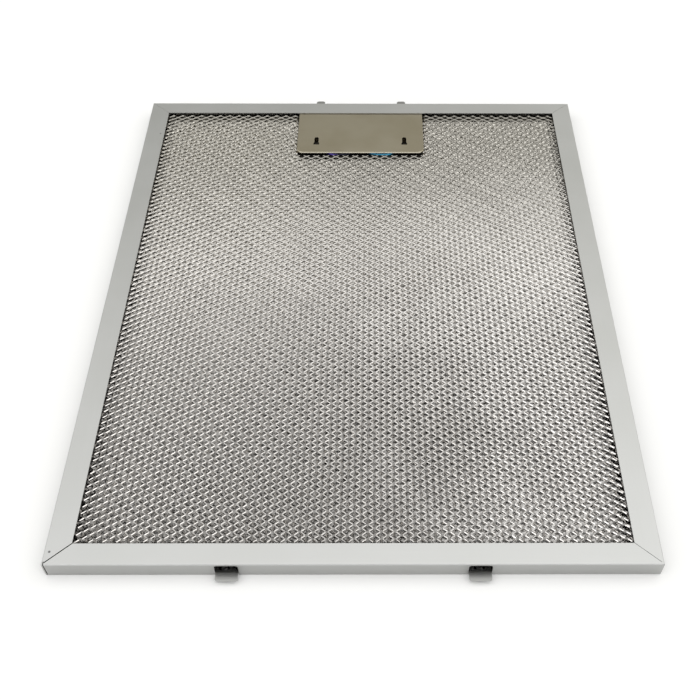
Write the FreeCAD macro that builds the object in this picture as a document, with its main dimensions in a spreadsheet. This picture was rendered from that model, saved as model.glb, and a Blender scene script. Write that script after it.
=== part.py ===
import FreeCAD, Part
import math
import os
import Sketcher

doc = FreeCAD.newDocument("grease_filter")
ALONG_X = FreeCAD.Vector(1, 0, 0)
ALONG_Y = FreeCAD.Vector(0, 1, 0)
ALONG_Z = FreeCAD.Vector(0, 0, 1)

# Driving dimensions, in millimetres and degrees
SIZES = {
    # Frame, one folded strip of sheet
    "frame_width": 260.0,
    "frame_length": 320.0,
    "frame_height": 9.0,
    "frame_sheet": 0.6,
    "frame_flange": 10.0,
    "side_flange": 11.0,
    "frame_bend": 0.4,
    "open_mitre": 0.5,
    "open_seam": 0.4,
    "folded_mitre": 0.2,
    "rear_mitre": 0.1,
    # Front hooks, lanced out of the front wall
    "hook_place": 53.4,
    "hook_width": 9.6,
    "hook_reach": 4.1,
    "hook_level": 2.5,
    "hook_bend": 0.3,
    "hook_corner": 1.2,
    "lance_gap": 0.2,
    "window_drop": 1.3,
    # Mesh layers, drawn at a coarser pitch than the real mesh
    "mesh_long_way": 51.4,
    "mesh_short_way": 34.6,
    "mesh_knuckle": 3.0,
    "mesh_edge": 1.2,
    "mesh_side_gap": 0.4,
    "mesh_rest": 0.05,
    "mesh_play": 0.25,
    "strand_slope": 45.0,
    # Latch plate with its bolts
    "plate_width": 76.4,
    "plate_length": 47.7,
    "plate_sheet": 0.7,
    "plate_corner": 4.0,
    "plate_edge": 0.5,
    "plate_play": 0.15,
    "plate_seat": 0.1,
    "bolt_place": 25.2,
    "bolt_width": 5.2,
    "bolt_reach": 4.1,
    "bolt_drop": 0.75,
    "bolt_root": 6.0,
    "bolt_step": 1.2,
    "bolt_relief": 0.8,
    "bolt_corner": 1.4,
    "bolt_play": 0.3,
    "bolt_lift": 0.2,
    # Tongues lanced out of the plate and bent down
    "tongue_place": 26.5,
    "tongue_setback": 7.45,
    "tongue_width": 2.3,
    "bell_length": 7.1,
    "bell_mouth": 3.4,
    "bell_rim": 1.2,
    "bell_neck": 2.5,
    "tongue_play": 0.15,
    # Tray under the plate
    "tray_sheet": 0.5,
    "tray_gap": 0.2,
    "tray_lap": 0.4,
    "tray_corner": 3.0,
    "notch_gap": 1.4,
    "lip_gap": 0.6,
    "lip_play": 1.5,
    "rivet_place": 7.6,
    "rivet_radius": 0.8,
    "rivet_height": 1.2,
    # Wave spring between the tray's front lip and the tongues
    "spring_strip": 0.4,
    "spring_play": 0.2,
    "spring_touch": 0.05,
    "spring_crest": 15.0,
    "spring_wave": 3.0,
    "spring_bend": 24.6,
    "spring_end": 29.0,
}
sizes = doc.addObject("Spreadsheet::Sheet", "sizes")
for row, (alias, value) in enumerate(SIZES.items(), 1):
    sizes.set(f"A{row}", alias)
    sizes.set(f"B{row}", str(value))
    sizes.setAlias(f"B{row}", alias)
doc.recompute()

# Levels and places that several pieces share, as expressions on the sizes
LAYERS = 5
TRAY_LAYER = 3
OVERCUT = "1"
EVEN_SPACING = -1.0
ROUND_END = 0.48
TOLERANCE = 1e-4
HALF_WIDTH = "sizes.frame_width / 2"
REAR = "sizes.frame_length / 2"
FRONT = "(-sizes.frame_length / 2)"
REAR_INSIDE = f"({REAR} - sizes.frame_sheet)"
PLATE_TOP = "(sizes.frame_height - sizes.frame_sheet - sizes.plate_play)"
PLATE_UNDER = f"({PLATE_TOP} - sizes.plate_sheet)"
PLATE_FRONT = f"({REAR} - sizes.plate_length)"
LAYER_PITCH = f"(({PLATE_UNDER} - sizes.mesh_play - sizes.frame_sheet) / {LAYERS})"
LAYER_THICKNESS = f"({LAYER_PITCH} - sizes.mesh_rest)"
MESH_HALF_WIDTH = f"({HALF_WIDTH} - sizes.frame_sheet - sizes.mesh_side_gap)"
MESH_HALF_LENGTH = f"({REAR_INSIDE} - sizes.mesh_side_gap)"
BOLT_TOP = f"({PLATE_TOP} - sizes.bolt_drop)"
BOLT_UNDER = f"({BOLT_TOP} - sizes.plate_sheet)"
LIP_INSIDE = f"({PLATE_FRONT} - sizes.lip_gap)"
LIP_OUTSIDE = f"({LIP_INSIDE} - sizes.tray_sheet)"
TRAY_HALF_WIDTH = "(sizes.plate_width / 2 - sizes.tray_lap)"
NOTCH_HALF_WIDTH = f"({TRAY_HALF_WIDTH} + sizes.notch_gap)"
TRAY_UNDER = f"(sizes.frame_sheet + {TRAY_LAYER} * {LAYER_PITCH})"
TRAY_FLOOR = f"({TRAY_UNDER} + sizes.tray_sheet)"
LIP_TOP = f"({PLATE_UNDER} - sizes.lip_play)"
BELL_FRONT = f"({PLATE_FRONT} + sizes.tongue_setback)"
LEG_FRONT = f"({BELL_FRONT} - sizes.plate_sheet)"
TONGUE_UNDER = f"({TRAY_FLOOR} + sizes.tongue_play)"


def number(expression):
    """Present value of an expression on the sizes."""
    return float(sizes.evalExpression(expression))


def plane(body, role):
    """One of a body's own origin planes."""
    return next(feature for feature in body.Origin.OriginFeatures if feature.Role == role)


def sketch_on(body, name, role, lift="0"):
    """Sketch on one of the body's origin planes, lifted along that plane's normal."""
    sketch = body.newObject("Sketcher::SketchObject", name)
    sketch.AttachmentSupport = (plane(body, role), [""])
    sketch.MapMode = "FlatFace"
    sketch.setExpression("AttachmentOffset.Base.z", lift)
    return sketch


def place_start(sketch, line, kind, expression):
    """Holds the start of a sketch line at a signed distance from the sketch's origin."""
    value = number(expression)
    if value >= 0:
        index = sketch.addConstraint(Sketcher.Constraint(kind, -1, 1, line, 1, value))
        sketch.setExpression(f"Constraints[{index}]", expression)
    else:
        index = sketch.addConstraint(Sketcher.Constraint(kind, line, 1, -1, 1, -value))
        sketch.setExpression(f"Constraints[{index}]", f"-({expression})")


def polygon(sketch, points):
    """Closed outline whose corners are pairs of expressions."""
    corners = [FreeCAD.Vector(number(x), number(y), 0) for x, y in points]
    first = len(sketch.Geometry)
    count = len(corners)
    for i, corner in enumerate(corners):
        sketch.addGeometry(Part.LineSegment(corner, corners[(i + 1) % count]))
    for i, (x, y) in enumerate(points):
        following = first + (i + 1) % count
        sketch.addConstraint(Sketcher.Constraint("Coincident", first + i, 2, following, 1))
        place_start(sketch, first + i, "DistanceX", x)
        place_start(sketch, first + i, "DistanceY", y)


def rectangle(sketch, low, high):
    """Rectangle between two corners."""
    (x0, y0), (x1, y1) = low, high
    polygon(sketch, [(x0, y0), (x1, y0), (x1, y1), (x0, y1)])


def circle(sketch, x, y, radius):
    """Circle about a point, all as expressions."""
    centre = FreeCAD.Vector(number(x), number(y), 0)
    index = sketch.addGeometry(Part.Circle(centre, ALONG_Z, number(radius)))
    held = [Sketcher.Constraint("Radius", index, number(radius)),
            Sketcher.Constraint("DistanceX", -1, 1, index, 3, centre.x),
            Sketcher.Constraint("DistanceY", -1, 1, index, 3, centre.y)]
    for constraint, expression in zip(held, (radius, x, y)):
        sketch.setExpression(f"Constraints[{sketch.addConstraint(constraint)}]", expression)


def pad(body, name, sketch, length):
    """Adds the sketch's outline along its normal."""
    feature = body.newObject("PartDesign::Pad", name)
    feature.Profile = sketch
    feature.setExpression("Length", length)
    doc.recompute()
    return feature


def pocket(body, name, sketch, length, along_normal=False, slope=None):
    """Cuts the sketch's outline, by default against its normal, and checks that it cuts."""
    before = body.Shape.Volume
    feature = body.newObject("PartDesign::Pocket", name)
    feature.Profile = sketch
    feature.Reversed = along_normal
    feature.setExpression("Length", length)
    if slope:
        feature.setExpression("TaperAngle", slope)
    doc.recompute()
    if body.Shape.Volume >= before:
        raise RuntimeError(f"{name} of {body.Label} cuts nothing")
    return feature


def mirrored(body, name, features):
    """Repeats features on the other side of the filter's middle."""
    feature = body.newObject("PartDesign::Mirrored", name)
    feature.Originals = features
    feature.MirrorPlane = (plane(body, "YZ_Plane"), [""])
    body.Tip = feature
    doc.recompute()
    return feature


def edges_along(feature, axis, passes):
    """Names of the straight edges along an axis whose middle passes a test."""
    names = []
    for index, edge in enumerate(feature.Shape.Edges, 1):
        if edge.Degenerated or edge.Curve.TypeId != "Part::GeomLine":
            continue
        if abs(edge.Curve.Direction.dot(axis)) > 1 - TOLERANCE and passes(edge.CenterOfMass):
            names.append(f"Edge{index}")
    return names


def fillet(body, name, base, edges, radius):
    """Rounds the named edges of a feature."""
    if not edges:
        raise RuntimeError(f"{name} of {body.Label} finds no edge")
    feature = body.newObject("PartDesign::Fillet", name)
    feature.Base = (base, edges)
    feature.setExpression("Radius", radius)
    doc.recompute()
    return feature


def at(value, expression):
    """True where a coordinate equals the value of an expression."""
    return abs(value - number(expression)) < TOLERANCE


def new_body(label):
    """Empty body for one piece of the filter."""
    body = doc.addObject("PartDesign::Body", label)
    body.Label = label
    return body


def mitre(sketch, side_x, side_y, start, end, gap):
    """Slit on the line from a corner's inner to its outer point, between two distances in from the wall."""
    points = []
    for inset, side in ((start, -1), (start, 1), (end, 1), (end, -1)):
        across = f"({inset}) * sizes.side_flange / sizes.frame_flange"
        x = f"{side_x} * ({HALF_WIDTH} - {across}) + {side} * {gap} / sqrt(2)"
        y = f"{side_y} * ({REAR} - ({inset}))"
        points.append((x, y))
    polygon(sketch, points)


def make_frame():
    """U channel folded from one strip, open at the front left mitre."""
    body = new_body("frame")
    outline = sketch_on(body, "frame_outline", "XY_Plane")
    rectangle(outline, (f"-{HALF_WIDTH}", FRONT), (HALF_WIDTH, REAR))
    block = pad(body, "frame_block", outline, "sizes.frame_height")
    folds = [edge for axis in (ALONG_X, ALONG_Y) for edge in edges_along(block, axis, lambda c: True)]
    fillet(body, "frame_bends", block, folds, "sizes.frame_bend")

    hole_x = f"({HALF_WIDTH} - sizes.side_flange)"
    hole_y = f"({REAR} - sizes.frame_flange)"
    opening = sketch_on(body, "frame_opening", "XY_Plane")
    rectangle(opening, (f"-{hole_x}", f"-{hole_y}"), (hole_x, hole_y))
    pocket(body, "opening_cut", opening, "sizes.frame_height", along_normal=True)

    wall_x = f"({HALF_WIDTH} - sizes.frame_sheet)"
    channel = sketch_on(body, "frame_channel", "XY_Plane", "sizes.frame_sheet")
    rectangle(channel, (f"-{wall_x}", f"-{REAR_INSIDE}"), (wall_x, REAR_INSIDE))
    pocket(body, "channel_cut", channel, "sizes.frame_height - 2 * sizes.frame_sheet", along_normal=True)

    inner_end = f"sizes.frame_flange + {OVERCUT}"
    seams = sketch_on(body, "mitre_seams", "XY_Plane")
    seam_end = "(sizes.frame_sheet + sizes.frame_bend)"
    mitre(seams, -1, -1, inner_end, seam_end, "sizes.open_mitre")
    mitre(seams, 1, -1, inner_end, seam_end, "sizes.folded_mitre")
    for side_x in (1, -1):
        mitre(seams, side_x, 1, inner_end, seam_end, "sizes.rear_mitre")
    pocket(body, "seam_cut", seams, "sizes.frame_height", along_normal=True)
    wall_end = sketch_on(body, "open_wall_end", "XY_Plane")
    rectangle(wall_end, (f"-{wall_x}", f"{FRONT} - {OVERCUT}"),
              (f"-({wall_x} - sizes.open_seam)", f"{FRONT} + {seam_end} + sizes.open_mitre"))
    pocket(body, "wall_end_cut", wall_end, "sizes.frame_height", along_normal=True)

    slot_side = "(sizes.bolt_width / 2 + sizes.bolt_play)"
    slot = sketch_on(body, "bolt_slot", "XZ_Plane", f"-{REAR_INSIDE}")
    rectangle(slot, (f"sizes.bolt_place - {slot_side}", f"{BOLT_UNDER} - sizes.bolt_lift"),
              (f"sizes.bolt_place + {slot_side}", f"{BOLT_TOP} + sizes.bolt_lift"))
    slot_cut = pocket(body, "slot_cut", slot, "sizes.frame_sheet")
    mirrored(body, "both_slots", [slot_cut])
    add_front_hooks(body)
    return body


def add_front_hooks(body):
    """Two windows in the front wall, each with the sheet from it bent out as a hook."""
    bend = "(sizes.hook_bend + sizes.frame_sheet)"
    window_low = f"(sizes.hook_level - {bend})"
    window_high = "(sizes.frame_height - sizes.window_drop)"
    window_side = "(sizes.hook_width / 2 + sizes.lance_gap)"
    window = sketch_on(body, "hook_window", "XZ_Plane", REAR)
    rectangle(window, (f"sizes.hook_place - {window_side}", window_low),
              (f"sizes.hook_place + {window_side}", window_high))
    window_cut = pocket(body, "window_cut", window, "sizes.frame_sheet")

    wall_inside = f"({FRONT} + sizes.frame_sheet)"
    hook_end = f"({FRONT} - sizes.hook_reach)"
    hook_under = "(sizes.hook_level - sizes.frame_sheet)"
    profile = sketch_on(body, "hook_profile", "YZ_Plane", "sizes.hook_place - sizes.hook_width / 2")
    polygon(profile, [
        (wall_inside, window_low), (wall_inside, "sizes.hook_level"), (hook_end, "sizes.hook_level"),
        (hook_end, hook_under), (FRONT, hook_under), (FRONT, window_low),
    ])
    hook = pad(body, "hook", profile, "sizes.hook_width")
    pair = mirrored(body, "both_hooks", [window_cut, hook])

    tops = edges_along(pair, ALONG_Y, lambda c: c.y < 0 and at(c.z, window_high))
    rounded = fillet(body, "window_corners", pair, tops, "sizes.hook_corner")
    ends = edges_along(rounded, ALONG_Z, lambda c: at(c.y, hook_end))
    rounded = fillet(body, "hook_corners", rounded, ends, "sizes.hook_corner")
    roots = edges_along(rounded, ALONG_X, lambda c: at(c.y, FRONT) and at(c.z, hook_under))
    rounded = fillet(body, "hook_inner_bends", rounded, roots, "sizes.hook_bend")
    crowns = edges_along(rounded, ALONG_X, lambda c: at(c.y, wall_inside) and at(c.z, "sizes.hook_level"))
    fillet(body, "hook_outer_bends", rounded, crowns, bend)


def hole_counts(half_sheet, half_hole, pitch):
    """Odd and even numbers of holes at a pitch that fit on a sheet, centred on it."""
    room = (number(half_sheet) - number("sizes.mesh_edge") - number(half_hole)) / number(pitch)
    return 2 * int(room) + 1, 2 * int(room + 0.5)


def make_mesh(label, layer, turned, shifted, notched):
    """Layer of expanded mesh: staggered diamonds whose sloping sides leave ridges between them."""
    body = new_body(label)
    level = f"(sizes.frame_sheet + {layer} * {LAYER_PITCH})"
    blank = sketch_on(body, f"{label}_blank", "XY_Plane", level)
    rectangle(blank, (f"-{MESH_HALF_WIDTH}", f"-{MESH_HALF_LENGTH}"), (MESH_HALF_WIDTH, MESH_HALF_LENGTH))
    pad(body, f"{label}_sheet", blank, LAYER_THICKNESS)

    half_long = "((sizes.mesh_long_way - sizes.mesh_knuckle) / 2)"
    half_short = f"({half_long} * sizes.mesh_short_way / sizes.mesh_long_way)"
    long_side, short_side = MESH_HALF_WIDTH, MESH_HALF_LENGTH
    if turned:
        long_side, short_side = short_side, long_side
    columns = hole_counts(long_side, half_long, "sizes.mesh_long_way")
    rows = hole_counts(short_side, half_short, "sizes.mesh_short_way")
    if shifted:
        rows = rows[::-1]
    for part, (column_count, row_count) in enumerate(zip(columns, rows)):
        long_middle = f"(-{(column_count - 1) / 2} * sizes.mesh_long_way)"
        short_middle = f"(-{(row_count - 1) / 2} * sizes.mesh_short_way)"
        corners = [
            (f"{long_middle} - {half_long}", short_middle), (long_middle, f"{short_middle} - {half_short}"),
            (f"{long_middle} + {half_long}", short_middle), (long_middle, f"{short_middle} + {half_short}"),
        ]
        if turned:
            corners = [(y, x) for x, y in corners]
        diamond = sketch_on(body, f"{label}_diamond_{part}", "XY_Plane", f"{level} + {LAYER_THICKNESS}")
        polygon(diamond, corners)
        gap = pocket(body, f"{label}_gap_{part}", diamond, LAYER_THICKNESS, slope="-sizes.strand_slope")
        pattern = body.newObject("PartDesign::LinearPattern", f"{label}_gaps_{part}")
        pattern.Originals = [gap]
        pattern.Direction = (diamond, ["V_Axis" if turned else "H_Axis"])
        pattern.Direction2 = (diamond, ["H_Axis" if turned else "V_Axis"])
        pattern.Mode = "Spacing"
        pattern.Mode2 = "Spacing"
        pattern.setExpression("Offset", "sizes.mesh_long_way")
        pattern.setExpression("Offset2", "sizes.mesh_short_way")
        pattern.Occurrences = column_count
        pattern.Occurrences2 = row_count
        pattern.Spacings2 = [EVEN_SPACING] * (row_count - 1)
        body.Tip = pattern
        doc.recompute()

    if notched:
        notch_front = f"({LIP_OUTSIDE} - sizes.tray_gap)"
        notch = sketch_on(body, f"{label}_notch", "XY_Plane", level)
        rectangle(notch, (f"-{NOTCH_HALF_WIDTH}", notch_front), (NOTCH_HALF_WIDTH, REAR))
        pocket(body, f"{label}_notch_cut", notch, LAYER_THICKNESS, along_normal=True)
    return body


def make_tray():
    """Pressed tray that the plate slides over, with a lip in front and at the sides and two rivets."""
    body = new_body("latch_tray")
    outline = sketch_on(body, "tray_outline", "XY_Plane", TRAY_UNDER)
    rectangle(outline, (f"-{TRAY_HALF_WIDTH}", LIP_OUTSIDE), (TRAY_HALF_WIDTH, MESH_HALF_LENGTH))
    pad(body, "tray_block", outline, f"{LIP_TOP} - {TRAY_UNDER}")
    inside_x = f"({TRAY_HALF_WIDTH} - sizes.tray_sheet)"
    inside = sketch_on(body, "tray_inside", "XY_Plane", LIP_TOP)
    rectangle(inside, (f"-{inside_x}", LIP_INSIDE), (inside_x, REAR))
    hollow = pocket(body, "tray_hollow", inside, f"{LIP_TOP} - {TRAY_FLOOR}")
    corners = edges_along(hollow, ALONG_Z, lambda c: at(c.y, LIP_INSIDE))
    rounded = fillet(body, "tray_inner_corners", hollow, corners, "sizes.tray_corner - sizes.tray_sheet")
    corners = edges_along(rounded, ALONG_Z, lambda c: at(c.y, LIP_OUTSIDE))
    fillet(body, "tray_corners", rounded, corners, "sizes.tray_corner")
    head = sketch_on(body, "rivet_head", "XY_Plane", TRAY_FLOOR)
    circle(head, "sizes.tongue_place", f"({BELL_FRONT} + sizes.rivet_place)", "sizes.rivet_radius")
    rivet = pad(body, "rivet", head, "sizes.rivet_height")
    mirrored(body, "both_rivets", [rivet])
    return body


def make_plate():
    """Sliding plate, with bolts stepped down to the slots and tongues bent down to the spring."""
    body = new_body("latch_plate")
    half_plate = "sizes.plate_width / 2"
    shoulder = f"({REAR_INSIDE} - sizes.plate_seat)"
    outline = sketch_on(body, "plate_outline", "XY_Plane", PLATE_UNDER)
    rectangle(outline, (f"-{half_plate}", PLATE_FRONT), (half_plate, shoulder))
    blank = pad(body, "plate_blank", outline, "sizes.plate_sheet")
    corners = edges_along(blank, ALONG_Z, lambda c: at(c.y, PLATE_FRONT))
    rounded = fillet(body, "plate_corners", blank, corners, "sizes.plate_corner")
    front_rim = edges_along(rounded, ALONG_X, lambda c: at(c.y, PLATE_FRONT) and at(c.z, PLATE_TOP))
    fillet(body, "plate_rim", rounded, front_rim, "sizes.plate_edge")

    root = f"({REAR} - sizes.bolt_root)"
    notch_side = "(sizes.bolt_width / 2 + sizes.bolt_relief)"
    notch = sketch_on(body, "bolt_notch", "XY_Plane", PLATE_TOP)
    rectangle(notch, (f"sizes.bolt_place - {notch_side}", root), (f"sizes.bolt_place + {notch_side}", REAR))
    notch_cut = pocket(body, "notch_cut", notch, "sizes.plate_sheet")
    bolt_tip = f"({REAR} + sizes.bolt_reach)"
    step = f"({root} + sizes.bolt_step)"
    step_end = f"({step} + sizes.bolt_drop)"
    side_view = sketch_on(body, "bolt_profile", "YZ_Plane", "sizes.bolt_place - sizes.bolt_width / 2")
    polygon(side_view, [
        (root, PLATE_UNDER), (step, PLATE_UNDER), (step_end, BOLT_UNDER), (bolt_tip, BOLT_UNDER),
        (bolt_tip, BOLT_TOP), (step_end, BOLT_TOP), (step, PLATE_TOP), (root, PLATE_TOP),
    ])
    bolt = pad(body, "bolt", side_view, "sizes.bolt_width")

    bell = sketch_on(body, "bell_outline", "XY_Plane", PLATE_TOP)
    bell_end = f"({BELL_FRONT} + sizes.bell_length)"
    rim_end = f"({BELL_FRONT} + sizes.bell_rim)"
    neck_start = f"({BELL_FRONT} + 2 * sizes.bell_rim)"
    half_bell = [
        ("sizes.bell_mouth / 2", BELL_FRONT), ("sizes.bell_mouth / 2", rim_end),
        ("sizes.bell_neck / 2", neck_start), ("sizes.bell_neck / 2", bell_end),
    ]
    right = [(f"sizes.tongue_place + {x}", y) for x, y in half_bell]
    left = [(f"sizes.tongue_place - {x}", y) for x, y in reversed(half_bell)]
    polygon(bell, right + left)
    bell_cut = pocket(body, "bell_cut", bell, "sizes.plate_sheet")
    bent = sketch_on(body, "tongue_profile", "YZ_Plane", "sizes.tongue_place - sizes.tongue_width / 2")
    rectangle(bent, (LEG_FRONT, TONGUE_UNDER), (BELL_FRONT, PLATE_UNDER))
    tongue = pad(body, "tongue", bent, "sizes.tongue_width")
    pair = mirrored(body, "both_sides", [notch_cut, bolt, bell_cut, tongue])
    tips = edges_along(pair, ALONG_Z, lambda c: at(c.y, bolt_tip))
    rounded = fillet(body, "bolt_tips", pair, tips, "sizes.bolt_corner")
    necks = edges_along(rounded, ALONG_Z, lambda c: at(c.y, bell_end))
    fillet(body, "bell_ends", rounded, necks, f"{ROUND_END} * sizes.bell_neck")
    return body


def wave(start, end):
    """Two equal arcs from one point to another, level along X at both ends."""
    step = end - start
    radius = (step.x ** 2 + step.y ** 2) / (4 * abs(step.y))
    side = math.copysign(1, step.y)
    turn = 2 * math.atan2(abs(step.y), step.x)

    def point(angle):
        return FreeCAD.Vector(radius * math.sin(angle), side * radius * (1 - math.cos(angle)), 0)

    middle = start + point(turn)
    leaving = Part.Arc(start, start + point(turn / 2), middle)
    arriving = Part.Arc(middle, end - point(turn / 2), end)
    return [leaving.toShape(), arriving.toShape()]


def make_spring():
    """Wave spring: a strip on edge whose two crests bear on the lip and whose ends bear on the tongues."""
    strip = number("sizes.spring_strip")
    touch = number("sizes.spring_touch")
    bottom = number(TRAY_FLOOR) + number("sizes.spring_play")
    top = number(PLATE_UNDER) - number("sizes.spring_play")
    crest_y = number(LIP_INSIDE) + touch + strip / 2
    end_y = number(LEG_FRONT) - touch - strip / 2
    route = [
        FreeCAD.Vector(-number("sizes.spring_end"), end_y, bottom),
        FreeCAD.Vector(-number("sizes.spring_bend"), end_y, bottom),
        FreeCAD.Vector(-number("sizes.spring_crest"), crest_y, bottom),
        FreeCAD.Vector(0, crest_y + number("sizes.spring_wave"), bottom),
    ]
    route += [FreeCAD.Vector(-p.x, p.y, p.z) for p in reversed(route[:-1])]
    edges = [Part.LineSegment(route[0], route[1]).toShape()]
    for start, end in zip(route[1:-2], route[2:-1]):
        edges += wave(start, end)
    edges.append(Part.LineSegment(route[-2], route[-1]).toShape())
    across = FreeCAD.Vector(0, strip / 2, 0)
    height = FreeCAD.Vector(0, 0, top - bottom)
    corners = [route[0] - across, route[0] + across, route[0] + across + height, route[0] - across + height]
    section = Part.makePolygon(corners + corners[:1])
    spring = doc.addObject("Part::Feature", "latch_spring")
    spring.Label = "latch_spring"
    spring.Shape = Part.Wire(edges).makePipeShell([section], True, False)
    spring.Placement = FreeCAD.Placement()
    return spring


pieces = [
    make_frame(),
    make_mesh("back_mesh", 0, turned=False, shifted=False, notched=False),
    make_mesh("lower_mesh", 1, turned=True, shifted=False, notched=False),
    make_mesh("middle_mesh", 2, turned=False, shifted=True, notched=False),
    make_mesh("upper_mesh", 3, turned=True, shifted=True, notched=True),
    make_mesh("face_mesh", 4, turned=False, shifted=False, notched=True),
    make_tray(),
    make_plate(),
    make_spring(),
]
doc.recompute()

# Every feature and every piece is sound before anything is written
for item in doc.Objects:
    if "Invalid" in item.State or "Error" in item.State:
        raise RuntimeError(f"{item.Label} failed: {item.State}")
for piece in pieces:
    if piece.Shape.isNull() or not piece.Shape.isValid() or len(piece.Shape.Solids) != 1:
        raise RuntimeError(f"{piece.Label} is not one sound solid")

os.makedirs("parts", exist_ok=True)
for piece in pieces:
    piece.Shape.exportStep(f"parts/{piece.Label}.step")
    box = piece.Shape.BoundBox
    print(f"{piece.Label}: {piece.Shape.Volume:.1f} mm3, z {box.ZMin:.3f} to {box.ZMax:.3f}")
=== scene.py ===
# %% [markdown]
# A grease filter from a cooker hood
#
# The filter is a flat frame folded from aluminium sheet. Five layers of expanded aluminium mesh lie in it,
# and a sprung plate at the rear slides two bolts through the rear wall. The CAD model brings the frame, the
# plate and the tray at their true shape. The mesh is far too fine for CAD, so Blender makes it here.
# Every object is in metres and in the CAD model's own frame, so nothing is fitted afterwards.

# %% Load the CAD model
import math

import bmesh
import bpy
from mathutils import Matrix, Vector


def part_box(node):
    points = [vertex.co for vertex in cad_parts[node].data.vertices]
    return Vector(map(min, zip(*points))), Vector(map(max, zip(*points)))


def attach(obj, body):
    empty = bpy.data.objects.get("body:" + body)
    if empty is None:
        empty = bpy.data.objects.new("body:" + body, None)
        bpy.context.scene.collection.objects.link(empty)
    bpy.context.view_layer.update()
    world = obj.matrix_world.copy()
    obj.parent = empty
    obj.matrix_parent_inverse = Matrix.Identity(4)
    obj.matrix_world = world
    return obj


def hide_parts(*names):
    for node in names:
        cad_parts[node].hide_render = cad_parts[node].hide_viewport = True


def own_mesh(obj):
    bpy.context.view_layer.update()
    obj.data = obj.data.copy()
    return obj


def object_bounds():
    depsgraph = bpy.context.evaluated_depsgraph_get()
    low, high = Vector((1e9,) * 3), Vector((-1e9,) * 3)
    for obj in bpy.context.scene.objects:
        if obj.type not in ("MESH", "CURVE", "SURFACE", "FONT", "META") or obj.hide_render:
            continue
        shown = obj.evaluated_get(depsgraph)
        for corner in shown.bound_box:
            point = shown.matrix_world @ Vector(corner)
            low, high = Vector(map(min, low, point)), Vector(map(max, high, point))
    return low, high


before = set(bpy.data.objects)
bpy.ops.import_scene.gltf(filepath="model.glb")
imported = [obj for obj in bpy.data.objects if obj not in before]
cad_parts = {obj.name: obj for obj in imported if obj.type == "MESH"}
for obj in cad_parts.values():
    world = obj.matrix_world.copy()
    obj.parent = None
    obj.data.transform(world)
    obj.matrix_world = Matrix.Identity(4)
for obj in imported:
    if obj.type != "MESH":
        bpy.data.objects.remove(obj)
cad_low, cad_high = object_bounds()
MM = 0.001
BOLT_REACH = 4.1 * MM
HALF_WIDTH = cad_high.x
HALF_LENGTH = cad_high.y - BOLT_REACH
scene = bpy.context.scene
print("CAD nodes:", sorted(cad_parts))
print("CAD size in mm:", [round(side / MM, 2) for side in cad_high - cad_low])

# %% [markdown]
# The camera
#
# The photograph was taken from the front and above. The camera's place, its direction and its lens come from
# the frame's four outer and four inner corners, which a small fit compared with their pixels. The picture was
# cropped off centre, so the lens is shifted a little and the perspective stays true.

# %% Camera
CAMERA_PLACE = Vector((9.18, -354.52, 376.89)) * MM
CAMERA_LOOK = Vector((0.00619, 0.64589, -0.7634)).normalized()
CAMERA_RIGHT = Vector((0.99998, -0.00392, 0.0048)).normalized()
SENSOR_WIDTH = 36.0
LENS = 50.21
SHIFT_X = -0.0451
SHIFT_Y = 0.0007
camera_data = bpy.data.cameras.new("camera")
camera_data.sensor_width = SENSOR_WIDTH
camera_data.lens = LENS
camera_data.shift_x = SHIFT_X
camera_data.shift_y = SHIFT_Y
camera = bpy.data.objects.new("camera", camera_data)
scene.collection.objects.link(camera)
camera_up = CAMERA_RIGHT.cross(CAMERA_LOOK)
axes = Matrix((CAMERA_RIGHT, camera_up, -CAMERA_LOOK)).transposed()
camera.matrix_world = Matrix.Translation(CAMERA_PLACE) @ axes.to_4x4()
scene.camera = camera
scene.view_settings.view_transform = "Standard"
print("camera looks down by", round(math.degrees(math.asin(-CAMERA_LOOK.z)), 1), "degrees")

# %% [markdown]
# Nodes as arithmetic
#
# Materials, the studio dome and the mesh rule are all node trees. Two small classes keep them readable. A
# Socket is one output of a node, and Python's operators on it add Math nodes. Nodes adds any other node: its
# settings are set first, and then its inputs, each a plain value or another Socket.


# %% Node helpers
class Socket:
    """An output of a node that Python arithmetic can use."""

    def __init__(self, nodes, socket):
        self.nodes = nodes
        self.socket = socket

    def math(self, operation, first, second=0.0):
        return self.nodes.add("ShaderNodeMath", {"operation": operation}, {0: first, 1: second})

    def __add__(self, other):
        return self.math("ADD", self, other)

    def __sub__(self, other):
        return self.math("SUBTRACT", self, other)

    def __rsub__(self, other):
        return self.math("SUBTRACT", other, self)

    def __mul__(self, other):
        return self.math("MULTIPLY", self, other)

    def __truediv__(self, other):
        return self.math("DIVIDE", self, other)

    def __mod__(self, other):
        return self.math("MODULO", self, other)

    def __pow__(self, other):
        return self.math("POWER", self, other)

    def __gt__(self, other):
        return self.math("GREATER_THAN", self, other)

    def __lt__(self, other):
        return self.math("LESS_THAN", self, other)

    def __neg__(self):
        return self.math("MULTIPLY", self, -1.0)

    def __abs__(self):
        return self.math("ABSOLUTE", self)

    __radd__ = __add__
    __rmul__ = __mul__


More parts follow.
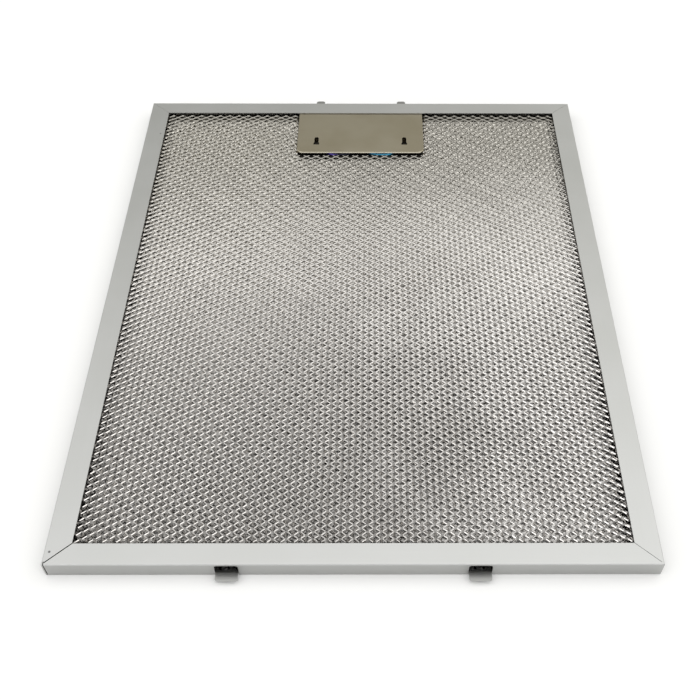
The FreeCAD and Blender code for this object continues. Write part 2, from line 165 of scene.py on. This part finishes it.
class Nodes:
    """Adds nodes to one tree."""

    def __init__(self, tree):
        self.tree = tree

    def add(self, kind, settings=None, inputs=None, output=0):
        node = self.tree.nodes.new(kind)
        for name, value in (settings or {}).items():
            if name == "stops":
                self.fill_ramp(node.color_ramp, value)
            else:
                setattr(node, name, value)
        for key, value in (inputs or {}).items():
            if isinstance(value, Socket):
                self.tree.links.new(value.socket, node.inputs[key])
            else:
                node.inputs[key].default_value = value
        return Socket(self, node.outputs[output])

    def fill_ramp(self, ramp, stops):
        while len(ramp.elements) < len(stops):
            ramp.elements.new(1.0)
        for element, (place, colour) in zip(ramp.elements, stops):
            element.position = place
            element.color = (*colour, 1.0)

    def parts(self, vector):
        split = self.add("ShaderNodeSeparateXYZ", None, {0: vector}).socket.node
        return [Socket(self, output) for output in split.outputs]

    def vector(self, x, y, z):
        return self.add("ShaderNodeCombineXYZ", None, {0: x, 1: y, 2: z})

    def noise(self, vector, scale, detail=2.0):
        return self.add("ShaderNodeTexNoise", None, {"Vector": vector, "Scale": scale, "Detail": detail})

    def between(self, value, low, high):
        """0 below low, 1 above high and a smooth way from one to the other."""
        settings = {"interpolation_type": "SMOOTHSTEP"}
        return self.add("ShaderNodeMapRange", settings, {0: value, 1: low, 2: high, 3: 0.0, 4: 1.0})

    def blend(self, factor, first, second):
        """Mixes two colours, each a Socket or a plain red, green and blue."""
        first, second = (end if isinstance(end, Socket) else (*end, 1.0) for end in (first, second))
        return self.add("ShaderNodeMix", {"data_type": "RGBA"}, {0: factor, 6: first, 7: second}, 2)


print("node helpers ready")

# %% [markdown]
# The studio
#
# The filter lies on a white table under a wide soft dome. Satin metal shows whatever surrounds it, so the
# dome matters more than any lamp. It is brightest overhead and in two soft boxes, one on each side of the
# camera, which light the strands of the mesh. It is dim round the camera itself, where the photographer
# stands, and a little dim low at both sides. Behind the filter it is greyer, which is why the rear rail looks
# darker than the front one, and there it is lighter on the right. The dome is a colour by direction, so it
# lights the filter and is mirrored in it alike.

# %% Regions of the dome
world = bpy.data.worlds.new("studio_dome")
scene.world = world
world.use_nodes = True
world.node_tree.nodes.clear()
dome = Nodes(world.node_tree)
direction = dome.add("ShaderNodeTexCoord", output="Generated")
toward_x, toward_y, toward_z = dome.parts(direction)
overhead = dome.between(toward_z, 0.3, 0.95)
rear = dome.between(toward_y, 0.35, 0.9)
front = dome.between(-toward_y, 0.3, 0.75) * dome.between(toward_z, 0.35, 0.55)
behind = dome.between(toward_y, -0.05, 0.30)
right = dome.between(toward_x, -0.45, 0.45) * behind
low_side = (1 - dome.between(toward_z, 0.30, 0.48)) * dome.between(abs(toward_x), 0.50, 0.80)
soft_box = dome.between(toward_z, 0.36, 0.52) * dome.between(abs(toward_x), 0.35, 0.60)
soft_box = soft_box * dome.between(-toward_y, 0.12, 0.35)
print("dome regions made of", len(world.node_tree.nodes), "nodes")

# %% Light of the dome
DOME_LEVEL = 1.22
DOME_LEAST = 0.12
DOME_WHITE = (1.0, 0.998, 0.985)
REAR_WHITE = (1.0, 0.995, 0.90)
level = DOME_LEVEL
for gain, region in ((0.30, overhead), (-0.92, rear), (-1.05, front), (-0.13, behind), (0.26, right),
                     (-0.40, low_side), (0.55, soft_box)):
    level = level + gain * region
level = dome.add("ShaderNodeMath", {"operation": "MAXIMUM"}, {0: level, 1: DOME_LEAST})
tint = dome.blend(rear, DOME_WHITE, REAR_WHITE)
light = dome.add("ShaderNodeBackground", None, {"Color": tint, "Strength": level})
world_output = world.node_tree.nodes.new("ShaderNodeOutputWorld")
world.node_tree.links.new(light.socket, world_output.inputs["Surface"])
print("dome made of", len(world.node_tree.nodes), "nodes")

# %% [markdown]
# The table is one large quad a hair under the filter, so that it never lies in the same plane as the frame's
# underside. It is plain white with no gloss, and it keeps the soft shadow round the frame.

# %% Table
TABLE_HALF = 3.0
TABLE_DROP = 0.05 * MM
TABLE_WHITE = (0.91, 0.91, 0.91, 1.0)
table_mesh = bpy.data.meshes.new("table")
table_corners = [(side * TABLE_HALF, end * TABLE_HALF, -TABLE_DROP)
                 for side, end in ((-1, -1), (1, -1), (1, 1), (-1, 1))]
table_mesh.from_pydata(table_corners, [], [(0, 1, 2, 3)])
table = bpy.data.objects.new("table", table_mesh)
scene.collection.objects.link(table)
table_white = bpy.data.materials.new("table_white")
table_white.use_nodes = True
table_shader = table_white.node_tree.nodes["Principled BSDF"]
table_shader.inputs["Base Color"].default_value = TABLE_WHITE
table_shader.inputs["Roughness"].default_value = 1.0
table_shader.inputs["Specular IOR Level"].default_value = 0.0
table_mesh.materials.append(table_white)
print("table", 2 * TABLE_HALF, "m wide,", TABLE_DROP / MM, "mm under the filter")

# %% [markdown]
# Finishes
#
# Each finish is a Principled shader on the object's own coordinates. A number that is the same all over is
# set on the shader, and only colour, roughness and the bump vary.


# %% Start of a finish
def new_finish(name, metallic):
    """A material with an empty Principled shader, its tree's helper, the shader and the coordinates."""
    material = bpy.data.materials.new(name)
    material.use_nodes = True
    shader = material.node_tree.nodes["Principled BSDF"]
    shader.inputs["Metallic"].default_value = metallic
    nodes = Nodes(material.node_tree)
    return material, nodes, shader, nodes.add("ShaderNodeTexCoord", output="Object")


def connect(nodes, shader, colour, roughness, height, depth):
    """Feeds the sockets that vary over the surface."""
    links = nodes.tree.links
    links.new(colour.socket, shader.inputs["Base Color"])
    links.new(roughness.socket, shader.inputs["Roughness"])
    bump = nodes.add("ShaderNodeBump", None, {"Strength": 1.0, "Distance": depth, "Height": height})
    links.new(bump.socket, shader.inputs["Normal"])
    print("a finish made of", len(nodes.tree.nodes), "nodes")


def stretched(nodes, vector, factors):
    """The coordinates times a factor along each axis, which draws a pattern out where the factor is small."""
    return nodes.add("ShaderNodeVectorMath", {"operation": "MULTIPLY"}, {0: vector, 1: factors})


# %% [markdown]
# The frame is mill-finished aluminium sheet with a satin skin. Rolling leaves faint streaks along each rail,
# so the streak pattern is drawn out along X on the front and rear rails and along Y on the side rails; the
# mitre lines part the two. Broad blotches and three small dark specks break up the even grey. The walls under
# the flanges are painted a shade darker, which is painted shade.

# %% Frame finish
SHEET_DARK = (0.556, 0.561, 0.556)
SHEET_LIGHT = (0.578, 0.582, 0.580)
WALL_PAINTED_SHADE = (0.430, 0.433, 0.424)
WALL_TOP = cad_high.z - 0.7 * MM
SPECK_GREY = (0.12, 0.12, 0.12)
FRAME_SPECKS = ((-127.7, -153.9, 0.7, 0.9), (-121.3, 129.2, 0.6, 0.7), (-35.2, 149.7, 0.8, 0.25))
SATIN_ROUGHNESS = 0.40
STREAK_DEPTH = 0.012 * MM
frame_skin, nodes, shader, place = new_finish("frame_satin_aluminium", 1.0)
x, y, z = nodes.parts(place)
side_rail = (abs(x) - abs(y)) > (HALF_WIDTH - HALF_LENGTH)
across = nodes.noise(stretched(nodes, place, (25, 1500, 1500)), 1.0, 3.0)
along = nodes.noise(stretched(nodes, place, (1500, 25, 1500)), 1.0, 3.0)
streak = across + (along - across) * side_rail
blotch = nodes.noise(place, 28.0, 3.0)
fine = nodes.noise(place, 2600.0, 1.0)
specks = 0.0
for speck_x, speck_y, radius, strength in FRAME_SPECKS:
    off = ((x - speck_x * MM) ** 2.0 + (y - speck_y * MM) ** 2.0) ** 0.5
    specks = specks + strength * (1 - nodes.between(off, 0.5 * radius * MM, radius * MM))
colour = nodes.blend(nodes.between(blotch, 0.3, 0.7), SHEET_DARK, SHEET_LIGHT)
# Painted shade: below the top flange the frame is painted a darker grey.
colour = nodes.blend(z < WALL_TOP, colour, WALL_PAINTED_SHADE)
colour = nodes.blend(specks, colour, SPECK_GREY)
roughness = SATIN_ROUGHNESS + 0.06 * (streak - 0.5) + 0.08 * (blotch - 0.5) + 0.10 * specks
connect(nodes, shader, colour, roughness, 0.7 * streak + 0.3 * fine, STREAK_DEPTH)

# %% [markdown]
# The mesh is bright aluminium foil stock. Slitting and stretching leaves every strand with a slightly
# different face, so the roughness changes from strand to strand and the tint drifts a little over the sheet.
# The foil is painted lighter towards the right, which is painted light, and towards the rear a warm painted
# shade dulls the face layer. The layers inside are painted darker than the face at the front, painted shade
# between the strands, and lighter than it at the rear, painted light that keeps the contrast there low. All
# strands inside the frame's channel are painted nearly black, which is painted shade.

# %% Mesh finishes
FOIL_FAIR = (0.82, 0.794, 0.765)
FOIL_PAINTED_LIGHT = (0.93, 0.907, 0.883)
FOIL_DULL = (0.54, 0.525, 0.51)
FOIL_ROUGHNESS = 0.21
FOIL_GRAIN_DEPTH = 0.02 * MM
PAINTED_REAR_LEFT_GAIN = 1.18
PAINTED_REAR_LEFT_END = -70 * MM
CHANNEL_PAINTED_SHADE = (0.06, 0.06, 0.06)
CHANNEL_SIDE = HALF_WIDTH - 9.0 * MM
CHANNEL_END = HALF_LENGTH - 6.9 * MM


def times(level, tint):
    """A colour made lighter or darker."""
    return tuple(level * part for part in tint)


def mesh_finish(name, left_shade_level, right_shade_level, painted_rear_start, painted_rear_end, painted_rear_tint):
    """Bright foil times a shade level for each side, painted lighter to the right, with a painted rear tone
    that grows to the rear.
    """
    skin, nodes, shader, place = new_finish(name, 1.0)
    drift = nodes.noise(place, 18.0, 2.0)
    strand = nodes.noise(place, 420.0, 1.0)
    grain = nodes.noise(place, 2200.0, 2.0)
    x, y, _ = nodes.parts(place)
    # Painted light: the foil grows lighter towards the right.
    painted_light_to_right = nodes.between(0.35 * (drift - 0.5) + 1.5 * x, 0.0, 0.17)
    colour = nodes.blend(painted_light_to_right, times(left_shade_level, FOIL_FAIR), times(right_shade_level, FOIL_PAINTED_LIGHT))
    colour = nodes.blend(nodes.between(strand, 0.5, 0.75) * 0.5, colour, times(left_shade_level, FOIL_DULL))
    # Painted shade on the face layer and painted light on the inner layers: a rear tone, paler on the left.
    painted_rear_tone = nodes.blend(nodes.between(x, PAINTED_REAR_LEFT_END, 0.0), times(PAINTED_REAR_LEFT_GAIN, painted_rear_tint), painted_rear_tint)
    colour = nodes.blend(nodes.between(y, painted_rear_start, painted_rear_end), colour, painted_rear_tone)
    # Painted shade: strands inside the frame's channel are painted nearly black.
    channel = (abs(x) > CHANNEL_SIDE) + (abs(y) > CHANNEL_END)
    colour = nodes.blend(channel, colour, CHANNEL_PAINTED_SHADE)
    roughness = FOIL_ROUGHNESS + 0.18 * (strand - 0.5) + 0.10 * (grain - 0.5)
    connect(nodes, shader, colour, roughness, grain, FOIL_GRAIN_DEPTH)
    return skin


# The face layer: painted light on the right, painted shade towards the rear.
mesh_skin = mesh_finish("mesh_bright_aluminium", 1.0, 1.0, 0.0, 130 * MM, (0.315, 0.302, 0.270))
# The inner layers: painted shade all over, and painted light towards the rear.
inner_painted_shade_skin = mesh_finish("mesh_inner_aluminium_painted_shade", 0.30, 0.44, -85 * MM, 150 * MM, (0.63, 0.607, 0.560))

# %% [markdown]
# The latch plate is satin steel with a warm cast, brushed along its width. Its front rim is painted lighter,
# a painted highlight, and its bolts are rubbed to a plain grey.

# %% Latch finish
PLATE_DARK = (0.360, 0.322, 0.240)
PLATE_LIGHT = (0.392, 0.356, 0.276)
PLATE_ROUGHNESS = 0.36
STEEL_GRAIN_DEPTH = 0.01 * MM
RIM_PAINTED_HIGHLIGHT = (0.62, 0.58, 0.48)
RIM_BACK = 113.0 * MM
RIM_TOP = 8.2 * MM
BOLT_GREY = (0.36, 0.36, 0.355)
BOLT_FRONT = 160.0 * MM
latch_skin, nodes, shader, place = new_finish("latch_satin_steel", 1.0)
brushed = nodes.noise(stretched(nodes, place, (40, 2400, 2400)), 1.0, 3.0)
blotch = nodes.noise(place, 45.0, 2.0)
colour = nodes.blend(nodes.between(blotch, 0.3, 0.7), PLATE_DARK, PLATE_LIGHT)
_, y, z = nodes.parts(place)
# Painted highlight on the plate's rounded front rim.
colour = nodes.blend((y < RIM_BACK) * (z < RIM_TOP), colour, RIM_PAINTED_HIGHLIGHT)
colour = nodes.blend(y > BOLT_FRONT, colour, BOLT_GREY)
roughness = PLATE_ROUGHNESS + 0.10 * (brushed - 0.5) + 0.06 * (blotch - 0.5)
connect(nodes, shader, colour, roughness, brushed, STEEL_GRAIN_DEPTH)

# %% [markdown]
# The tray under the plate is raw steel that never sees the light. It is dull, and its colour is painted
# nearly black, which is painted shade. Its two rivet heads have a brassy skin and show through the plate's
# openings.

# %% Tray finish
TRAY_PAINTED_SHADE = (0.05, 0.046, 0.04)
TRAY_PAINTED_SHADE_PALE = (0.09, 0.083, 0.072)
TRAY_ROUGHNESS = 0.5
RIVET_BRASS = (0.45, 0.36, 0.22)
RIVET_LEVEL = 5.3 * MM
RIVET_FRONT = 115.0 * MM
tray_skin, nodes, shader, place = new_finish("tray_raw_steel", 1.0)
mottle = nodes.noise(place, 300.0, 2.0)
_, y, z = nodes.parts(place)
# Painted shade: the tray is painted nearly black.
colour = nodes.blend(mottle, TRAY_PAINTED_SHADE, TRAY_PAINTED_SHADE_PALE)
colour = nodes.blend((z > RIVET_LEVEL) * (y > RIVET_FRONT), colour, RIVET_BRASS)
connect(nodes, shader, colour, TRAY_ROUGHNESS + 0.2 * (mottle - 0.5), mottle, STEEL_GRAIN_DEPTH)

# %% [markdown]
# The spring strip is tempered steel. Heat leaves an oxide film whose colour follows its thickness, so it goes
# from violet on the left through nearly black to a clear blue on the right. A colour ramp along X gives that,
# and a little noise keeps the bands from being straight.

# %% Spring finish
SPRING_HALF = 30 * MM
BAND_WANDER = 3 * MM
SPRING_ROUGHNESS = 0.34
OXIDE_STOPS = [(0.0, (0.04, 0.035, 0.06)), (0.10, (0.09, 0.064, 0.29)), (0.23, (0.09, 0.064, 0.31)),
               (0.28, (0.02, 0.02, 0.035)), (0.56, (0.02, 0.03, 0.05)), (0.61, (0.05, 0.25, 0.42)),
               (0.84, (0.06, 0.31, 0.50)), (0.90, (0.04, 0.06, 0.08))]
spring_skin, nodes, shader, place = new_finish("spring_blued_steel", 0.85)
x = nodes.parts(place)[0]
run = (x + BAND_WANDER * (nodes.noise(place, 160.0, 2.0) - 0.5) + SPRING_HALF) / (2 * SPRING_HALF)
colour = nodes.add("ShaderNodeValToRGB", {"stops": OXIDE_STOPS}, {0: run})
grain = nodes.noise(place, 1800.0, 2.0)
connect(nodes, shader, colour, SPRING_ROUGHNESS + 0.12 * (grain - 0.5), grain, STEEL_GRAIN_DEPTH)

# %% [markdown]
# The frame, the plate and the tray keep their CAD shape, so they only take a finish.

# %% CAD nodes take their finishes
for name, skin in (("frame", frame_skin), ("latch_plate", latch_skin), ("latch_tray", tray_skin)):
    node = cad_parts[name]
    node.data.materials.clear()
    node.data.materials.append(skin)
    print(name, "takes", skin.name)

# %% [markdown]
# Expanded mesh
#
# Expanded metal starts as sheet with staggered slits. Pulled apart, each strip between two rows of slits
# becomes a ribbon that swings from side to side and stays joined to its neighbours at every swing. The uncut
# bond there is short and straight, and the strands between bonds are steep. The strips turn as they are
# pulled, so all faces lean forward. The bonds then look at the dim front of the room and the strands at its
# bright sides, which is why the strands stand out. A Geometry Nodes rule follows that: it draws the line of
# one ribbon, sweeps a wedge along it, and sets ribbons side by side. Its inputs are the sizes of a layer.

# %% Inputs of the mesh rule
RULE_INPUTS = {
    "Bonds": "NodeSocketInt", "Corners": "NodeSocketInt", "Step": "NodeSocketFloat",
    "Bond": "NodeSocketFloat", "Ribbons": "NodeSocketInt", "Pitch": "NodeSocketFloat",
    "Swing": "NodeSocketFloat", "Rise": "NodeSocketFloat", "Width": "NodeSocketFloat",
    "Thickness": "NodeSocketFloat", "Lean": "NodeSocketFloat", "Turn": "NodeSocketFloat",
    "Level": "NodeSocketFloat", "Bend": "NodeSocketFloat", "Seed": "NodeSocketFloat",
    "Skin": "NodeSocketMaterial",
}
rule = bpy.data.node_groups.new("expanded_mesh_rule", "GeometryNodeTree")
for name, kind in RULE_INPUTS.items():
    rule.interface.new_socket(name, in_out="INPUT", socket_type=kind)
rule.interface.new_socket("Geometry", in_out="OUTPUT", socket_type="NodeSocketGeometry")
rule_keys = {item.name: item.identifier for item in rule.interface.items_tree if item.in_out == "INPUT"}
nodes = Nodes(rule)
group_input = rule.nodes.new("NodeGroupInput")
given = {name: Socket(nodes, group_input.outputs[name]) for name in RULE_INPUTS}
print("mesh rule with", len(given), "inputs")

# %% [markdown]
# A ribbon is a line whose points jump from side to side, with two corners at each bond. Where the bonds
# have one corner, the line is a plain zigzag. The section is a circle of three points, squeezed to a thin
# wedge and turned by the lean, which has fewer faces than a flat bar and catches the light on one side.

# %% One ribbon
WEDGE_HEIGHT = 1.5
WEDGE_SIDE = math.sqrt(3)
line = nodes.add("GeometryNodeMeshLine", None, {"Count": given["Bonds"] * given["Corners"]})
index = nodes.add("GeometryNodeInputIndex")
corner = index % given["Corners"]
bond = (index - corner) / given["Corners"]
side = 1 - 2 * (bond % 2)
from_middle = bond - (given["Bonds"] - 1) / 2
along = from_middle * given["Step"] + (corner - (given["Corners"] - 1) / 2) * given["Bond"]
swinging = nodes.add("GeometryNodeSetPosition", None, {
    "Geometry": line, "Position": nodes.vector(along, side * given["Swing"], -(side * given["Rise"]))})
curve = nodes.add("GeometryNodeMeshToCurve", None, {"Mesh": swinging})
upright = nodes.add("GeometryNodeSetCurveNormal", {"mode": "Z_UP"}, {"Curve": curve})
triangle = nodes.add("GeometryNodeCurvePrimitiveCircle", None, {"Resolution": 3, "Radius": 1.0})
squeeze = nodes.vector(given["Thickness"] / WEDGE_HEIGHT, given["Width"] / WEDGE_SIDE, 1.0)
wedge = nodes.add("GeometryNodeTransform", None, {"Geometry": triangle, "Scale": squeeze})
tilt = nodes.vector(0.0, 0.0, given["Lean"] + math.pi / 2)
lean = nodes.add("FunctionNodeEulerToRotation", None, {0: tilt})
leaning = nodes.add("GeometryNodeTransform", None, {"Geometry": wedge, "Rotation": lean})
ribbon = nodes.add("GeometryNodeCurveToMesh", None, {
    "Curve": upright, "Profile Curve": leaning, "Fill Caps": True})
print("ribbon made of", len(rule.nodes), "nodes")

# %% [markdown]
# The ribbons are set side by side, every second one moved by a step so that the swings meet. The sheet is
# then turned and lifted to its layer, and a slow noise bends it as handling does.

# %% Sheet of ribbons
BEND_SCALE = 60.0
BEND_UPWARD = 0.25
half_span = (given["Ribbons"] - 1) * given["Pitch"] / 2
rows = nodes.add("GeometryNodeMeshLine", None, {
    "Count": given["Ribbons"], "Start Location": nodes.vector(0.0, -half_span, 0.0),
    "Offset": nodes.vector(0.0, given["Pitch"], 0.0)})
staggered = nodes.add("GeometryNodeSetPosition", None, {
    "Geometry": rows, "Offset": nodes.vector((index % 2 - 0.5) * given["Step"], 0.0, 0.0)})
ribbons = nodes.add("GeometryNodeInstanceOnPoints", None, {"Points": staggered, "Instance": ribbon})
sheet = nodes.add("GeometryNodeRealizeInstances", None, {"Geometry": ribbons})
turn = nodes.add("FunctionNodeEulerToRotation", None, {0: nodes.vector(0.0, 0.0, given["Turn"])})
laid = nodes.add("GeometryNodeTransform", None, {
    "Geometry": sheet, "Rotation": turn, "Translation": nodes.vector(0.0, 0.0, given["Level"])})
spot = nodes.add("GeometryNodeInputPosition")
bends = nodes.add("ShaderNodeTexNoise", {"noise_dimensions": "4D"}, {
    "Vector": spot, "W": given["Seed"], "Scale": BEND_SCALE, "Detail": 2.0, "Roughness": 0.5}, "Color")
centred = nodes.add("ShaderNodeVectorMath", {"operation": "SUBTRACT"}, {0: bends, 1: (0.5, 0.5, 0.5)})
amount = nodes.vector(given["Bend"], given["Bend"], given["Bend"] * BEND_UPWARD)
offset = nodes.add("ShaderNodeVectorMath", {"operation": "MULTIPLY"}, {0: centred, 1: amount})
bent = nodes.add("GeometryNodeSetPosition", None, {"Geometry": laid, "Offset": offset})
faceted = nodes.add("GeometryNodeSetShadeSmooth", None, {"Geometry": bent, "Shade Smooth": False})
dressed = nodes.add("GeometryNodeSetMaterial", None, {"Geometry": faceted, "Material": given["Skin"]})
group_output = rule.nodes.new("NodeGroupOutput")
rule.links.new(dressed.socket, group_output.inputs[0])
print("mesh rule made of", len(rule.nodes), "nodes")

# %% [markdown]
# The photograph gives the mesh its pitch: an opening is 5.8 mm long and 3.45 mm high. The second layer that
# shows through the first is a quarter turn round and stretched a little further, so every other layer is, and
# its strands lean further over, which keeps them quieter than the face layer's. The two layers inside only
# close the view through the openings, so their strands are wide and nearly flat. The CAD nodes say where each
# layer lies and how large it is, and the pitch is eased to fill that size.

# %% Sizes of the mesh
LONG_WAY = 5.8 * MM
SHORT_WAY = 3.45 * MM
TURNED_SHORT_WAY = 3.60 * MM
BOND = 1.30 * MM
STRAND_WIDTH = 0.42 * MM
STRAND_THICKNESS = 0.34 * MM
STRAND_LEAN = math.radians(40)
SECOND_LEAN = math.radians(60)
INNER_WIDTH = 1.10 * MM
INNER_LEAN = math.radians(15)
QUARTER_TURN = math.radians(90)
BEND = 1.0 * MM
EDGE = 0.3 * MM


def mesh_sizes(node, seed, turned, corners, inner):
    """Values of the rule's inputs for the layer that a CAD node holds the place of."""
    width = INNER_WIDTH if inner else STRAND_WIDTH
    lean = INNER_LEAN if inner else SECOND_LEAN if turned else STRAND_LEAN
    short_way = TURNED_SHORT_WAY if turned else SHORT_WAY
    swing = (short_way / 2 - STRAND_WIDTH * math.cos(STRAND_LEAN)) / 2
    low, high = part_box(node)
    run, span = high.x - low.x - 2 * EDGE, high.y - low.y - 2 * EDGE
    if turned:
        run, span = span, run
    bond = BOND * (corners - 1)
    bonds = round((run - bond) / (LONG_WAY / 2))
    row_span = span - 2 * swing - width
    gaps = round(row_span / (short_way / 2))
    print(node, "has", gaps + 1, "ribbons with", bonds, "bonds each")
    return {
        "Bonds": bonds, "Corners": corners, "Step": (run - bond) / bonds, "Bond": bond,
        "Ribbons": gaps + 1, "Pitch": row_span / gaps, "Swing": swing, "Rise": width * math.sin(lean) / 2,
        "Width": width, "Thickness": STRAND_THICKNESS, "Lean": lean, "Turn": QUARTER_TURN if turned else 0.0,
        "Level": (low.z + high.z) / 2, "Bend": BEND, "Seed": seed,
        "Skin": inner_painted_shade_skin if inner else mesh_skin,
    }


# %% [markdown]
# The two upper layers are cut out for the latch. The cut is made with a blade on the real sheet, so here
# planes split the ribbons along the notch, what lies inside is deleted, and the cut ends are closed. The face
# layer ends just over the tray's lip, and the layer under it stops short of the lip.

# %% Notch for the latch
tray_low, tray_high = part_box("latch_tray")
NOTCH_SIDE = tray_high.x + 1.4 * MM
NOTCH_FRONT = tray_low.y - 0.2 * MM
FACE_NOTCH_FRONT = tray_low.y + 0.15 * MM
CUT_TOLERANCE = 1e-7
MOST_CUT_SIDES = 8


def cut_notch(mesh, front):
    """Cuts the place of the latch out of a layer."""
    reach = LONG_WAY
    shape = bmesh.new()
    shape.from_mesh(mesh)
    for point, normal in (((NOTCH_SIDE, 0, 0), (1, 0, 0)), ((-NOTCH_SIDE, 0, 0), (1, 0, 0)),
                          ((0, front, 0), (0, 1, 0))):
        near = [face for face in shape.faces if abs(face.calc_center_median().x) < NOTCH_SIDE + reach
                and face.calc_center_median().y > front - reach]
        parts = set(near)
        for face in near:
            parts.update(face.edges)
            parts.update(face.verts)
        bmesh.ops.bisect_plane(shape, geom=list(parts), dist=CUT_TOLERANCE, plane_co=point, plane_no=normal)
    inside = [face for face in shape.faces if abs(face.calc_center_median().x) < NOTCH_SIDE
              and face.calc_center_median().y > front]
    bmesh.ops.delete(shape, geom=inside, context="FACES")
    open_edges = [edge for edge in shape.edges if edge.is_boundary]
    bmesh.ops.holes_fill(shape, edges=open_edges, sides=MOST_CUT_SIDES)
    shape.to_mesh(mesh)
    shape.free()


print("notch", round(2 * NOTCH_SIDE / MM, 1), "mm wide, from", round(NOTCH_FRONT / MM, 1), "mm to the rear")

# %% [markdown]
# Every layer is the rule on an empty mesh, turned into a plain mesh so that the export keeps it. It takes the
# place of its CAD node and stays with the frame.


# %% Mesh layers
def mesh_layer(node, seed, turned=False, notch=None, corners=2, inner=False):
    """One sheet of expanded mesh in place of a CAD layer."""
    piece = bpy.data.objects.new("expanded_" + node, bpy.data.meshes.new("expanded_" + node))
    scene.collection.objects.link(piece)
    modifier = piece.modifiers.new("rule", "NODES")
    modifier.node_group = rule
    for name, value in mesh_sizes(node, seed, turned, corners, inner).items():
        modifier[rule_keys[name]] = value
    ready = piece.evaluated_get(bpy.context.evaluated_depsgraph_get())
    mesh = bpy.data.meshes.new_from_object(ready)
    piece.modifiers.remove(modifier)
    piece.data = mesh
    mesh.name = piece.name
    if notch is not None:
        cut_notch(mesh, notch)
    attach(piece, "filter")
    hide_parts(node)
    mesh.calc_loop_triangles()
    heights = [vertex.co.z / MM for vertex in mesh.vertices]
    print(piece.name, len(mesh.loop_triangles), "triangles, z from", round(min(heights), 2), "to",
          round(max(heights), 2))


mesh_layer("back_mesh", 1.0)
mesh_layer("lower_mesh", 2.0, turned=True, inner=True)
mesh_layer("middle_mesh", 3.0, corners=1, inner=True)
mesh_layer("upper_mesh", 4.0, turned=True, notch=NOTCH_FRONT)
mesh_layer("face_mesh", 5.0, notch=FACE_NOTCH_FRONT)

# %% [markdown]
# The spring
#
# The spring is a strip of blued steel on edge. It bears on the tray's front lip with two crests and on the
# plate's tongues with its ends. Its route is a Bezier curve with level handles, longer at the crests so that
# they lie flat along the lip.

# %% Route of the spring
SPRING_STRIP = 0.4 * MM
SPRING_END = 29.0 * MM
SPRING_BEND = 24.6 * MM
SPRING_CREST = 15.0 * MM
SPRING_WAVE = 3.0 * MM
CREST_REACH = 0.65
PLAIN_REACH = 0.35
CURVE_STEPS = 16
spring_low, spring_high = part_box("latch_spring")
spring_middle = (spring_low.z + spring_high.z) / 2
tail_y = spring_high.y - SPRING_STRIP / 2
crest_y = spring_low.y + SPRING_STRIP / 2
half_route = [(-SPRING_END, tail_y), (-SPRING_BEND, tail_y), (-SPRING_CREST, crest_y)]
route = half_route + [(0.0, crest_y + SPRING_WAVE)] + [(-px, py) for px, py in reversed(half_route)]
spring_curve = bpy.data.curves.new("spring_route", "CURVE")
spring_curve.dimensions = "3D"
spline = spring_curve.splines.new("BEZIER")
spline.resolution_u = CURVE_STEPS
spline.bezier_points.add(len(route) - 1)
for number, (point, (px, py)) in enumerate(zip(spline.bezier_points, route)):
    before = route[number - 1][0] if number else px
    after = route[number + 1][0] if number + 1 < len(route) else px
    reach = CREST_REACH if py == crest_y else PLAIN_REACH
    point.co = (px, py, spring_middle)
    point.handle_left = (px - reach * (px - before), py, spring_middle)
    point.handle_right = (px + reach * (after - px), py, spring_middle)
print("spring route with", len(route), "points")

# %% [markdown]
# A second small rule sweeps a flat section along the route, upright all the way.

# %% Rule of the strip
STRIP_INPUTS = {"Geometry": "NodeSocketGeometry", "Strip": "NodeSocketFloat", "Height": "NodeSocketFloat",
                "Skin": "NodeSocketMaterial"}
strip_rule = bpy.data.node_groups.new("strip_rule", "GeometryNodeTree")
for name, kind in STRIP_INPUTS.items():
    strip_rule.interface.new_socket(name, in_out="INPUT", socket_type=kind)
strip_rule.interface.new_socket("Geometry", in_out="OUTPUT", socket_type="NodeSocketGeometry")
strip_keys = {item.name: item.identifier for item in strip_rule.interface.items_tree
              if item.in_out == "INPUT"}
nodes = Nodes(strip_rule)
strip_input = strip_rule.nodes.new("NodeGroupInput")
strip_given = {name: Socket(nodes, strip_input.outputs[name]) for name in STRIP_INPUTS}
upright = nodes.add("GeometryNodeSetCurveNormal", {"mode": "Z_UP"}, {"Curve": strip_given["Geometry"]})
section = nodes.add("GeometryNodeCurvePrimitiveQuadrilateral", None, {
    "Width": strip_given["Strip"], "Height": strip_given["Height"]})
swept = nodes.add("GeometryNodeCurveToMesh", None, {
    "Curve": upright, "Profile Curve": section, "Fill Caps": True})
whole = nodes.add("GeometryNodeRealizeInstances", None, {"Geometry": swept})
dressed = nodes.add("GeometryNodeSetMaterial", None, {"Geometry": whole, "Material": strip_given["Skin"]})
strip_output = strip_rule.nodes.new("NodeGroupOutput")
strip_rule.links.new(dressed.socket, strip_output.inputs[0])
print("strip rule made of", len(strip_rule.nodes), "nodes")

# %% [markdown]
# Pushing the plate flattens the spring, which the CAD solid can't show, so this piece stands for it.

# %% Spring strip
route_object = bpy.data.objects.new("spring_route", spring_curve)
scene.collection.objects.link(route_object)
modifier = route_object.modifiers.new("strip", "NODES")
modifier.node_group = strip_rule
modifier[strip_keys["Strip"]] = SPRING_STRIP
modifier[strip_keys["Height"]] = spring_high.z - spring_low.z
modifier[strip_keys["Skin"]] = spring_skin
ready = route_object.evaluated_get(bpy.context.evaluated_depsgraph_get())
spring_mesh = bpy.data.meshes.new_from_object(ready)
spring = bpy.data.objects.new("blued_spring", spring_mesh)
scene.collection.objects.link(spring)
bpy.data.objects.remove(route_object)
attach(spring, "filter")
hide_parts("latch_spring")
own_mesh(spring)
for axis, name in enumerate("xyz"):
    reach = [vertex.co[axis] / MM for vertex in spring_mesh.vertices]
    print("spring in mm,", name, "from", round(min(reach), 2), "to", round(max(reach), 2))
